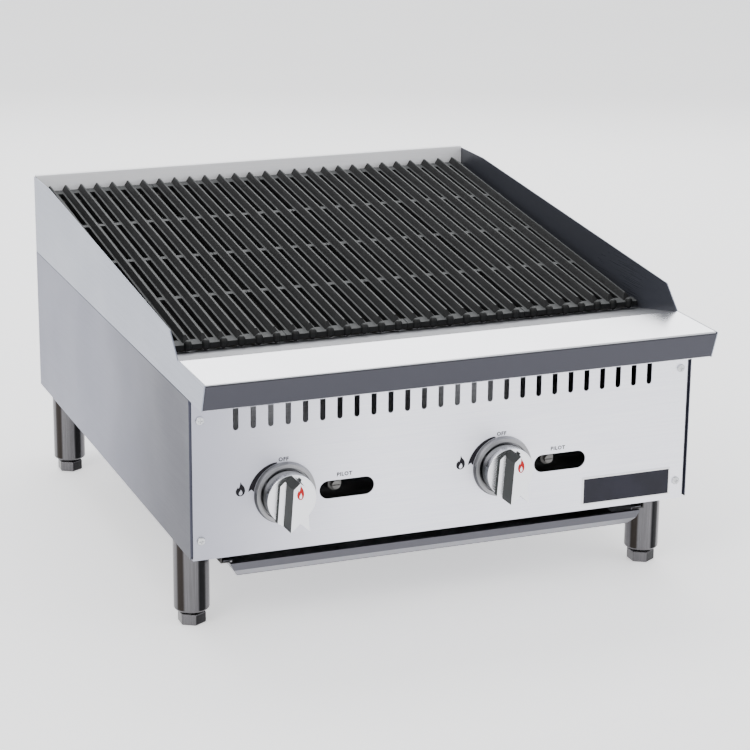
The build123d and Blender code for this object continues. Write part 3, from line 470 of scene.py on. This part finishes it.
@dataclass(frozen=True)
class Plain:
    """Plate, paint or print: one colour with slight patches and a fine skin."""

    name: str
    colour: Colour
    roughness: float = 0.4
    metallic: float = 0.0
    patch: float = 0.12
    patch_scale: float = 30.0
    grain: float = 0.0
    specular: float = 0.5
    # Painted shade and painted reflections on faces that look a given way.
    turned: tuple[PaintedShade, ...] = ()
    glow: float = 0.0
    skin_rough: float = 0.1
    skin_strength: float = 0.05
    skin_depth: float = 0.0003

    def build(self, effects: Effects) -> bpy.types.Material:
        """Makes the material.

        Args:
            effects: the shared groups.

        Returns:
            The material.
        """
        material, nodes = new_material(self.name)
        patch = nodes.group(effects.cloud, Scale=self.patch_scale).outputs[0]
        grain = nodes.group(effects.grain, Stretch=Lay.UPRIGHT.value, Fineness=1.0).outputs[0]
        blend = nodes.math("ADD", nodes.math("MULTIPLY", patch, 1 - self.grain),
                           nodes.math("MULTIPLY", grain, self.grain))
        dark = tuple(c * (1 - self.patch) for c in self.colour)
        light = tuple(min(1.0, c * (1 + self.patch)) for c in self.colour)
        colour = paint_shade_by_facing(nodes, effects, nodes.mix(blend, dark, light), self.turned)
        rough = nodes.math("ADD", nodes.math("MULTIPLY", blend, self.skin_rough),
                           self.roughness - self.skin_rough / 2)
        bump = nodes.add("Bump", {"Height": blend, "Strength": self.skin_strength,
                                  "Distance": self.skin_depth})
        shader = nodes.add("BsdfPrincipled", {"Base Color": colour, "Roughness": rough,
                                              "Normal": bump.outputs[0], "Metallic": self.metallic,
                                              "Specular IOR Level": self.specular,
                                              "Emission Color": (1.0, 1.0, 1.0, 1.0),
                                              "Emission Strength": self.glow})
        nodes.finish(shader)
        return material


class Finishes:
    """Every finish on the charbroiler, built once."""

    def __init__(self) -> None:
        """Builds the shared effects and the materials."""
        effects = Effects()
        steel = (0.28, 0.30, 0.36)
        # shaded is the painted shade for the splash sides' inner faces.
        front, shaded = (0.0, -1.0, 0.0), (0.046, 0.049, 0.061)
        # Side sheet: painted shade, darker towards the front.
        self.side = Brushed("side sheet", (0.19, 0.197, 0.25), Lay.ALONG_DEPTH, 0.38,
                            shade_axis=(0.0, 1.0, 0.0), shade_from=-0.30, shade_to=0.10,
                            shade_colour=(0.060, 0.062, 0.082)).build(effects)
        # Control panel: painted shade, darker towards the left end.
        self.panel = Brushed("control panel sheet", (0.90, 0.905, 0.99), Lay.ALONG_WIDTH, 0.42,
                             contrast=0.04,
                             shade_axis=(1.0, 0.0, 0.0), shade_from=-0.32, shade_to=-0.06,
                             shade_colour=(0.42, 0.425, 0.49)).build(effects)
        # Ledge sheet: its front face painted dark, as a painted reflection.
        self.ledge = Brushed("ledge sheet", (0.93, 0.935, 0.99), Lay.ALONG_WIDTH, 0.20, contrast=0.04,
                             turned=((front, 0.72, 0.9, (0.060, 0.0605, 0.072)),)).build(effects)
        # Splash sides: inner faces painted dark and less metallic, as painted shade and painted reflection.
        self.splash_left = Brushed("left splash sheet", steel, Lay.ALONG_DEPTH, 0.28,
                                   turned=(((1.0, 0.0, 0.0), 0.6, 0.9, shaded),), painted_shade_metal_cut=0.85).build(effects)
        self.splash_right = Brushed("right splash sheet", steel, Lay.ALONG_DEPTH, 0.28,
                                    turned=(((-1.0, 0.0, 0.0), 0.6, 0.9, shaded),),
                                    painted_shade_metal_cut=0.85).build(effects)
        self.back = Brushed("back splash sheet", (0.96, 0.96, 0.99), Lay.ALONG_WIDTH, 0.38, contrast=0.03,
                            metallic=0.15).build(effects)
        self.inner = Brushed("inner sheet", (0.07, 0.068, 0.066), Lay.ALONG_WIDTH, 0.6,
                             metallic=0.5).build(effects)
        self.apron = Brushed("apron sheet", (0.46, 0.465, 0.49), Lay.ALONG_WIDTH, 0.34).build(effects)
        # Tray sheet: its front-facing facet painted darker, as a painted reflection.
        self.tray = Brushed("tray sheet", (0.30, 0.30, 0.33), Lay.ALONG_WIDTH, 0.30,
                            turned=(((0.0, -0.98, -0.2), 0.9, 0.995, (0.11, 0.11, 0.125)),)).build(effects)
        # Leg tube: two upright bands painted dark by facing direction, as painted reflections.
        self.leg = Brushed("leg tube", (0.125, 0.122, 0.128), Lay.UPRIGHT, 0.24, contrast=0.16,
                           turned=(((-0.814, -0.58, 0.0), 0.955, 0.99, (0.028, 0.024, 0.022)),
                                   ((0.33, -0.944, 0.0), 0.955, 0.99, (0.012, 0.012, 0.013)))).build(effects)
        self.zinc = Brushed("zinc plate", (0.60, 0.61, 0.63), Lay.ALONG_WIDTH, 0.34).build(effects)
        self.radiant = Brushed("radiant sheet", (0.035, 0.032, 0.030), Lay.ALONG_DEPTH, 0.65,
                               metallic=0.4).build(effects)
        # Grate and burner iron: upward faces lighter, as painted highlight and wear.
        self.grate = Cast("grate iron", (0.0065, 0.0068, 0.0070), (0.062, 0.065, 0.066), 6.3, 0.0,
                          0.0001).build(effects)
        self.burner = Cast("burner iron", (0.03, 0.028, 0.026), (0.05, 0.047, 0.044)).build(effects)
        # Satin chrome: faces looking left and down painted dark, as a painted reflection.
        self.chrome = Plain("satin chrome", (0.80, 0.81, 0.84), 0.20, 1.0, 0.03, grain=0.5,
                            turned=(((-0.86, 0.0, -0.5), 0.40, 0.75, (0.045, 0.048, 0.052)),)).build(effects)
        # Knob flank: a dark, barely shiny copy of the chrome, as painted shade.
        self.chrome_painted_shade = Plain("knob flank", (0.030, 0.032, 0.031), 0.5, 0.0, 0.2, grain=0.6,
                                  specular=0.12).build(effects)
        # Bezel ring: its lower edge painted darker, as painted shade.
        self.bezel = Plain("bezel ring", (0.30, 0.30, 0.31), 0.38, 0.8, 0.1,
                           turned=(((-0.4, 0.0, -0.9), 0.12, 0.30, (0.05, 0.05, 0.052)),)).build(effects)
        self.pilot = Plain("pilot valve", (0.16, 0.155, 0.15), 0.42, 0.8, 0.2).build(effects)
        self.brass = Plain("brass", (0.60, 0.44, 0.18), 0.32, 1.0, 0.08).build(effects)
        self.aluminium = Plain("aluminium tube", (0.70, 0.71, 0.72), 0.34, 1.0).build(effects)
        self.pipe = Plain("black pipe", (0.028, 0.027, 0.027), 0.42, 0.1, 0.3).build(effects)
        self.enamel = Plain("badge enamel", (0.014, 0.014, 0.022), 0.5, 0.0, 0.2,
                            specular=0.2).build(effects)
        self.badge_edge = Plain("badge border", (0.88, 0.88, 0.90), 0.45, 0.0, 0.04).build(effects)
        self.ink = Plain("black print", (0.006, 0.005, 0.008), 0.6, 0.0, 0.3, specular=0.2).build(effects)
        self.red_ink = Plain("red print", (0.36, 0.006, 0.008), 0.5, 0.0, 0.2, specular=0.2).build(effects)
        self.floor = Plain("pale floor", (0.93, 0.93, 0.935), 0.8, 0.0, 0.01, 1.5, glow=0.75).build(effects)


# ---------------------------------------------------------------- modelling helpers


def clear_selection() -> None:
    """Deselects every object."""
    bpy.ops.object.select_all(action="DESELECT")


def make_active(piece: bpy.types.Object) -> None:
    """Selects one object only and makes it active.

    Args:
        piece: the object.
    """
    clear_selection()
    piece.select_set(True)
    bpy.context.view_layer.objects.active = piece


def settle(piece: bpy.types.Object) -> bpy.types.Object:
    """Puts the piece's place, turn and size into its mesh and leaves its object at the origin.

    Args:
        piece: the object.

    Returns:
        The same object.
    """
    make_active(piece)
    bpy.ops.object.transform_apply(location=True, rotation=True, scale=True)
    return piece


def dress(piece: bpy.types.Object, material: bpy.types.Material) -> None:
    """Gives the piece one material in place of what it has.

    Args:
        piece: the object.
        material: its new material.
    """
    piece.data.materials.clear()
    piece.data.materials.append(material)


def apply_modifier(piece: bpy.types.Object, name: str) -> None:
    """Applies one modifier.

    Args:
        piece: the object that has it.
        name: the modifier's name.
    """
    make_active(piece)
    bpy.ops.object.modifier_apply(modifier=name)


def softened_copy(node: str, width: float, segments: int = 2, angle: float = 28.0) -> bpy.types.Object:
    """Copies a CAD node, merges its loose triangles and rounds its hard edges.

    Args:
        node: the CAD node.
        width: the rounding's width, in metres.
        segments: faces across the rounding.
        angle: edges sharper than this, in degrees, are rounded.

    Returns:
        The copy, which stands in for the node.
    """
    source = bpy.data.objects[node]
    clear_selection()
    piece = source.copy()
    piece.data = source.data.copy()
    for key in list(piece.keys()):
        del piece[key]
    piece.parent = None
    piece.name = f"{node}_softened"
    bpy.context.scene.collection.objects.link(piece)
    make_active(piece)
    bpy.ops.object.mode_set(mode="EDIT")
    bpy.ops.mesh.select_all(action="SELECT")
    bpy.ops.mesh.remove_doubles(threshold=MERGE_DISTANCE)
    bpy.ops.mesh.customdata_custom_splitnormals_clear()
    bpy.ops.mesh.dissolve_limited(angle_limit=math.radians(FLAT_DEGREES))
    bpy.ops.mesh.normals_make_consistent(inside=False)
    bpy.ops.object.mode_set(mode="OBJECT")
    bevel = piece.modifiers.new("round", "BEVEL")
    bevel.width = width
    bevel.segments = segments
    bevel.limit_method = "ANGLE"
    bevel.angle_limit = math.radians(angle)
    bevel.harden_normals = False
    apply_modifier(piece, "round")
    bpy.ops.object.shade_smooth_by_angle(angle=math.radians(SMOOTH_DEGREES))
    weighted = piece.modifiers.new("flats", "WEIGHTED_NORMAL")
    weighted.keep_sharp = True
    weighted.weight = FLAT_WEIGHT
    apply_modifier(piece, "flats")
    return piece


def stand_in(piece: bpy.types.Object, node: str, body: str, material: bpy.types.Material) -> None:
    """Dresses a softened copy, puts it on its body and hides the node that it stands for.

    Args:
        piece: the copy.
        node: the CAD node that it stands for.
        body: the moving body that it rides on.
        material: its finish.
    """
    dress(piece, material)
    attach(piece, body)
    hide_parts(node)


def flat_shape(name: str, loops: Sequence[Sequence[tuple[float, float]]],
               thickness: float) -> bpy.types.Object:
    """Makes a thin filled plate from closed outlines in its own XY plane.

    Args:
        name: the piece's name.
        loops: outlines, in metres; an inner one cuts a hole.
        thickness: the plate's whole thickness, in metres.

    Returns:
        The plate, as a mesh, around the origin.
    """
    curve = bpy.data.curves.new(name, "CURVE")
    curve.dimensions = "2D"
    curve.fill_mode = "BOTH"
    curve.extrude = thickness / 2
    for loop in loops:
        spline = curve.splines.new("POLY")
        spline.points.add(len(loop) - 1)
        for point, (x, y) in zip(spline.points, loop):
            point.co = (x, y, 0.0, 1.0)
        spline.use_cyclic_u = True
    piece = bpy.data.objects.new(name, curve)
    bpy.context.scene.collection.objects.link(piece)
    make_active(piece)
    bpy.ops.object.convert(target="MESH")
    return bpy.context.view_layer.objects.active


def face_front(piece: bpy.types.Object, x: float, y: float, z: float) -> None:
    """Stands a flat piece upright, facing -Y, with its middle at the given place.

    Args:
        piece: the flat piece, around the origin.
        x: the place across the width, in metres.
        y: the place along the depth.
        z: the height.
    """
    piece.matrix_world = Matrix.Translation((x, y, z)) @ Matrix.Rotation(math.radians(90), 4, "X")
    bpy.context.view_layer.update()
    settle(piece)


def word(text: str, size: float, thickness: float, boldness: float) -> bpy.types.Object:
    """Makes a flat generic word around the origin, as a mesh.

    Args:
        text: the word.
        size: the letters' size, in metres.
        thickness: the print's thickness, in metres.
        boldness: how far the letters' outlines are pushed out, in metres.

    Returns:
        The word's object.
    """
    clear_selection()
    bpy.ops.object.text_add()
    piece = bpy.context.view_layer.objects.active
    piece.data.body = text
    piece.data.size = size
    piece.data.align_x = "CENTER"
    piece.data.align_y = "CENTER"
    piece.data.extrude = thickness / 2
    piece.data.offset = boldness
    piece.data.space_character = LETTER_SPACING
    piece.data.resolution_u = LETTER_STEPS
    bpy.ops.object.convert(target="MESH")
    piece = bpy.context.view_layer.objects.active
    piece.name = f"print_{text.lower()}"
    return piece


# ---------------------------------------------------------------- sub-assemblies


@dataclass
class Sheetwork:
    """The body's sheets: softened copies of the folded panels, and the plain inner ones."""

    finishes: Finishes
    fold: float = 0.45 * MM
    inner_nodes: tuple[str, ...] = ("liner_left", "liner_right", "liner_front", "liner_rear",
                                    "base_rail_left", "base_rail_right", "base_cross_front",
                                    "rear_grate_support")

    def build(self) -> None:
        """Builds every sheet."""
        f = self.finishes
        for side in ("left", "right"):
            self._softened(f"side_panel_{side}", f.side)
            self._softened(f"splash_side_{side}", getattr(f, f"splash_{side}"))
        self._softened("back_splash", f.back)
        self._softened("ledge", f.ledge)
        self._softened("control_panel", f.panel)
        self._softened("front_apron", f.apron)
        self._softened("rear_panel", f.side)
        for node in self.inner_nodes:
            dress(bpy.data.objects[node], f.inner)
        LOG.info("sheetwork dressed")

    def _softened(self, node: str, material: bpy.types.Material) -> None:
        """Replaces one sheet with its softened copy."""
        stand_in(softened_copy(node, self.fold), node, "frame", material)


@dataclass
class Grates:
    """Four cast grates with rounded casting edges."""

    finishes: Finishes
    count: int = 4
    edge: float = 0.6 * MM
    sharp_degrees: float = 30.0

    def build(self) -> None:
        """Builds each casting's copy."""
        for number in range(1, self.count + 1):
            node = f"grate_{number}"
            piece = softened_copy(node, self.edge, angle=self.sharp_degrees)
            stand_in(piece, node, f"grate_{number}_lifted", self.finishes.grate)
        LOG.info("grates dressed")


@dataclass
class Knobs:
    """The valve knobs, their bezels, and the red flame on each grip bar."""

    finishes: Finishes
    sides: tuple[str, ...] = ("left", "right")
    edge: float = 0.5 * MM
    flame_height: float = 18.0 * MM
    flame_rise: float = 17.3 * MM
    flame_slimness: float = 0.7
    flame_skin: float = 0.12 * MM
    flame_shift: float = 0.2 * MM
    flame_lift: float = 0.02 * MM
    bar_height: float = 27.0 * MM
    flank_turn: float = 0.6
    sharp_degrees: float = 30.0
    ring_edge: float = 0.4 * MM

    def build(self) -> None:
        """Builds both knobs."""
        for side in self.sides:
            node = f"knob_{side}"
            body = f"knob_{side}_turned"
            piece = softened_copy(node, self.edge, 3, self.sharp_degrees)
            stand_in(piece, node, body, self.finishes.chrome)
            self._shade_flank(piece)
            ring = softened_copy(f"knob_bezel_{side}", self.ring_edge)
            stand_in(ring, f"knob_bezel_{side}", "frame", self.finishes.bezel)
            low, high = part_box(node)
            axis_x = (low.x + high.x) / 2
            axis_z = sum(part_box(f"knob_bezel_{side}")[i].z for i in (0, 1)) / 2
            flame = flame_plate(f"knob_flame_{side}", self.flame_height, self.flame_skin,
                                self.flame_slimness)
            face_front(flame, axis_x + self.flame_shift, low.y - self.flame_lift, axis_z + self.flame_rise)
            dress(flame, self.finishes.red_ink)
            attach(flame, body)
        LOG.info("knobs dressed")

    def _shade_flank(self, piece: bpy.types.Object) -> None:
        """Gives the grip bar's left wall and the facets beside it a dark copy of the chrome, as painted
        shade.

        Args:
            piece: the knob's softened copy, unturned.
        """
        piece.data.materials.append(self.finishes.chrome_painted_shade)
        disc = min(v.co.y for v in piece.data.vertices) + self.bar_height
        for face in piece.data.polygons:
            if face.normal.x < -self.flank_turn and face.center.y < disc + self.edge:
                face.material_index = 1


def flame_plate(name: str, height: float, thickness: float, slimness: float = 1.0) -> bpy.types.Object:
    """Makes a plain flame outline with a drop-shaped hole, standing on its own XY plane.

    Args:
        name: the piece's name.
        height: the flame's height, in metres.
        thickness: the plate's thickness, in metres.
        slimness: its width as a share of the full outline's.

    Returns:
        The flame, around the origin.
    """
    outer = [(0.02, 0.50), (0.10, 0.34), (0.24, 0.18), (0.31, 0.02), (0.33, -0.16), (0.28, -0.32),
             (0.18, -0.43), (0.06, -0.48), (-0.08, -0.47), (-0.20, -0.41), (-0.28, -0.30), (-0.31, -0.16),
             (-0.28, -0.03), (-0.21, 0.07), (-0.16, 0.16), (-0.12, 0.06), (-0.06, 0.14), (-0.01, 0.30)]
    inner = [(0.04, -0.02), (0.11, -0.14), (0.15, -0.26), (0.12, -0.37), (0.03, -0.42), (-0.07, -0.38),
             (-0.10, -0.28), (-0.06, -0.18), (0.01, -0.12)]
    loops = [[(x * height * slimness, y * height) for x, y in loop] for loop in (outer, inner)]
    return flat_shape(name, loops, thickness)


@dataclass
class PanelPrint:
    """The flat print on the control panel: a tapering arc and a flame at each knob, and two plain words."""

    finishes: Finishes
    skin: float = 0.12 * MM
    arc_inner: float = 36.3 * MM
    arc_outer_thin: float = 37.6 * MM
    arc_outer_thick: float = 43.0 * MM
    arc_start: float = 104.0
    arc_end: float = 172.0
    arc_steps: int = 28
    arc_swell: float = 0.7
    notch_degrees: float = 4.0
    flame_out: float = 51.7 * MM
    flame_rise: float = 10.1 * MM
    flame_height: float = 17.0 * MM
    off_shift: float = 1.5 * MM
    off_rise: float = 39.1 * MM
    pilot_out: float = 70.0 * MM
    pilot_rise: float = 13.6 * MM
    letter: float = 6.1 * MM
    boldness: float = 0.20 * MM

    def build(self) -> None:
        """Prints both knobs' marks."""
        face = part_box("control_panel")[0].y
        for side in ("left", "right"):
            low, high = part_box(f"knob_bezel_{side}")
            x = (low.x + high.x) / 2
            z = (low.z + high.z) / 2
            self._put(self._arc(f"panel_arc_{side}"), x, face, z)
            flame = flame_plate(f"panel_flame_{side}", self.flame_height, self.skin)
            self._put(flame, x - self.flame_out, face, z + self.flame_rise)
            off = word("OFF", self.letter, self.skin, self.boldness)
            self._put(off, x - self.off_shift, face, z + self.off_rise)
            pilot = word("PILOT", self.letter, self.skin, self.boldness)
            self._put(pilot, x + self.pilot_out, face, z + self.pilot_rise)
        LOG.info("panel printed")

    def _arc(self, name: str) -> bpy.types.Object:
        """Makes the crescent that grows from the off mark to its swallow-tailed end.

        Args:
            name: the piece's name.

        Returns:
            The crescent, around the origin.
        """
        outer: list[tuple[float, float]] = []
        inner: list[tuple[float, float]] = []
        for step in range(self.arc_steps + 1):
            share = step / self.arc_steps
            angle = math.radians(self.arc_start + (self.arc_end - self.arc_start) * share)
            swell = (self.arc_outer_thick - self.arc_outer_thin) * share ** self.arc_swell
            reach = self.arc_outer_thin + swell
            outer.append((math.cos(angle) * reach, math.sin(angle) * reach))
            inner.append((math.cos(angle) * self.arc_inner, math.sin(angle) * self.arc_inner))
        middle = math.radians(self.arc_end - self.notch_degrees)
        halfway = (self.arc_inner + self.arc_outer_thick) / 2
        notch = (math.cos(middle) * halfway, math.sin(middle) * halfway)
        return flat_shape(name, [outer + [notch] + inner[::-1]], self.skin)

    def _put(self, piece: bpy.types.Object, x: float, y: float, z: float) -> None:
        """Places one print on the panel's face and dresses it.

        Args:
            piece: the print.
            x: its middle across the width, in metres.
            y: the panel's face.
            z: its middle's height.
        """
        face_front(piece, x, y - self.skin / 2, z)
        dress(piece, self.finishes.ink)
        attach(piece, "frame")


@dataclass
class Badge:
    """The blank plate at the lower right: dark enamel inside a pale border."""

    finishes: Finishes
    border: float = 1.6 * MM
    step: float = 0.15 * MM
    front_turn: float = 0.9

    def build(self) -> None:
        """Replaces the plain plate with a bordered one."""
        low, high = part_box("blank_badge")
        clear_selection()
        centre = (low + high) / 2
        size = high - low
        bpy.ops.mesh.primitive_cube_add(size=1.0, location=centre, scale=size)
        plate = settle(bpy.context.view_layer.objects.active)
        plate.name = "badge_plate"
        bpy.ops.object.mode_set(mode="EDIT")
        bpy.ops.mesh.select_all(action="DESELECT")
        bpy.ops.object.mode_set(mode="OBJECT")
        for face in plate.data.polygons:
            face.select = face.normal.y < -self.front_turn
        bpy.ops.object.mode_set(mode="EDIT")
        bpy.ops.mesh.select_mode(type="FACE")
        bpy.ops.mesh.inset(thickness=self.border, depth=0.0)
        bpy.ops.mesh.inset(thickness=self.step, depth=-self.step)
        bpy.ops.object.mode_set(mode="OBJECT")
        dress(plate, self.finishes.badge_edge)
        plate.data.materials.append(self.finishes.enamel)
        front = [face for face in plate.data.polygons if face.normal.y < -self.front_turn]
        middle = min(front, key=lambda face: (face.center - Vector((centre.x, low.y, centre.z))).length)
        middle.material_index = 1
        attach(plate, "frame")
        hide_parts("blank_badge")
        LOG.info("badge built")


@dataclass
class Undercarriage:
    """Drip tray, legs, feet, and the bolts and screws."""

    finishes: Finishes
    sheet_edge: float = 0.4 * MM
    foot_edge: float = 0.5 * MM
    screw_edge: float = 0.25 * MM

    def build(self) -> None:
        """Dresses the tray, the legs, the feet, the bolts and the screws."""
        f = self.finishes
        stand_in(softened_copy("drip_tray", self.sheet_edge), "drip_tray", "tray", f.tray)
        for row in ("front", "rear"):
            for side in ("left", "right"):
                leg = softened_copy(f"leg_{row}_{side}", self.sheet_edge)
                stand_in(leg, f"leg_{row}_{side}", "frame", f.leg)
                foot = softened_copy(f"foot_{row}_{side}", self.foot_edge)
                stand_in(foot, f"foot_{row}_{side}", f"foot_{row}_{side}_screwed", f.leg)
        dress(bpy.data.objects["leg_bolts"], f.zinc)
        stand_in(softened_copy("panel_screws", self.screw_edge), "panel_screws", "frame", f.zinc)
        LOG.info("undercarriage dressed")


@dataclass
class GasWorks:
    """Burners, radiants and the gas train, which show through the slots and from below."""

    finishes: Finishes
    names: dict[str, str] = field(default_factory=lambda: {
        "burner_": "burner", "radiant_": "radiant", "gas_valve_": "brass", "valve_stem_": "brass",
        "orifice_hood_": "brass", "pilot_valve_": "pilot", "pilot_tube_": "aluminium",
        "pilot_burner_": "zinc", "air_shutter_": "zinc", "manifold": "pipe", "supply_pipe": "pipe"})

    def build(self, nodes: Iterable[str]) -> None:
        """Dresses every node whose name starts with one of the listed names.

        Args:
            nodes: the names of the frame's nodes.
        """
        for node in nodes:
            for start, finish in self.names.items():
                if node.startswith(start):
                    dress(bpy.data.objects[node], getattr(self.finishes, finish))
        LOG.info("gas works dressed")


# ---------------------------------------------------------------- stage


@dataclass(frozen=True)
class Viewpoint:
    """Where the camera stands: angles in degrees, places in metres, the lens in millimetres."""

    azimuth: float = -21.46
    elevation: float = 17.14
    roll: float = -0.57
    aim: Point = (0.0, -0.026, 0.201)
    slide: tuple[float, float] = (0.0255, -0.00633)
    distance: float = 2.94225
    lens: float = 114.06
    sensor: float = 36.0

    def place(self) -> None:
        """Adds the camera and makes it the scene's own."""
        a, e, r = (math.radians(v) for v in (self.azimuth, self.elevation, self.roll))
        back = Vector((math.sin(a) * math.cos(e), -math.cos(a) * math.cos(e), math.sin(e)))
        level = Vector((math.cos(a), math.sin(a), 0.0))
        upright = back.cross(level)
        right = level * math.cos(r) - upright * math.sin(r)
        up = level * math.sin(r) + upright * math.cos(r)
        spot = Vector(self.aim) + right * self.slide[0] + up * self.slide[1] + back * self.distance
        data = bpy.data.cameras.new("camera")
        data.lens = self.lens
        data.sensor_width = self.sensor
        camera = bpy.data.objects.new("camera", data)
        turn = Matrix((right, up, back)).transposed().to_4x4()
        camera.matrix_world = Matrix.Translation(spot) @ turn
        bpy.context.scene.collection.objects.link(camera)
        bpy.context.scene.camera = camera


@dataclass(frozen=True)
class SoftBox:
    """One soft rectangular lamp, aimed at a point."""

    name: str
    spot: Point
    target: Point
    size: tuple[float, float]
    watts: float
    colour: Colour = (1.0, 1.0, 1.0)

    def place(self) -> None:
        """Adds the lamp."""
        data = bpy.data.lights.new(self.name, "AREA")
        data.shape = "RECTANGLE"
        data.size, data.size_y = self.size
        data.energy = self.watts
        data.color = self.colour
        lamp = bpy.data.objects.new(self.name, data)
        aim = Vector(self.target) - Vector(self.spot)
        lamp.matrix_world = Matrix.Translation(self.spot) @ aim.to_track_quat("-Z", "Y").to_matrix().to_4x4()
        bpy.context.scene.collection.objects.link(lamp)


@dataclass
class Studio:
    """Pale floor, soft lamps, even surroundings and the camera."""

    finishes: Finishes
    floor_size: float = 40.0
    sky: float = 1.08
    sky_colour: Colour = (0.97, 0.98, 1.0)
    lamps: tuple[SoftBox, ...] = (
        SoftBox("key", (-2.2, -2.0, 2.6), (0.0, 0.0, 0.2), (1.6, 1.6), 54.0, (1.0, 0.98, 0.96)),
        SoftBox("fill", (2.6, -2.4, 1.4), (0.0, 0.0, 0.2), (1.4, 1.8), 23.0, (0.94, 0.96, 1.0)),
        SoftBox("top", (0.0, 0.9, 2.8), (0.0, 0.0, 0.3), (2.4, 1.2), 38.0),
        SoftBox("rear", (1.05, 2.3, 1.3), (0.0, -0.35, 0.3), (3.2, 1.1), 30.0),
    )

    def build(self) -> None:
        """Builds the stage around the charbroiler."""
        clear_selection()
        bpy.ops.mesh.primitive_plane_add(size=self.floor_size, location=(0.0, 0.0, 0.0))
        floor = settle(bpy.context.view_layer.objects.active)
        floor.name = "floor"
        dress(floor, self.finishes.floor)
        for lamp in self.lamps:
            lamp.place()
        world = bpy.data.worlds.new("surroundings")
        world.use_nodes = True
        nodes = Nodes(world.node_tree)
        glow = nodes.add("Background", {"Color": (*self.sky_colour, 1.0), "Strength": self.sky})
        nodes.finish(glow, "OutputWorld")
        bpy.context.scene.world = world
        Viewpoint().place()
        LOG.info("stage set")


def main() -> None:
    """Builds every sub-assembly in order."""
    logging.basicConfig(level=logging.INFO, format="%(name)s: %(message)s")
    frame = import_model()
    finishes = Finishes()
    Sheetwork(finishes).build()
    Grates(finishes).build()
    Knobs(finishes).build()
    PanelPrint(finishes).build()
    Badge(finishes).build()
    Undercarriage(finishes).build()
    GasWorks(finishes).build(frame["nodes"])
    Studio(finishes).build()


if __name__ == "__main__":
    main()
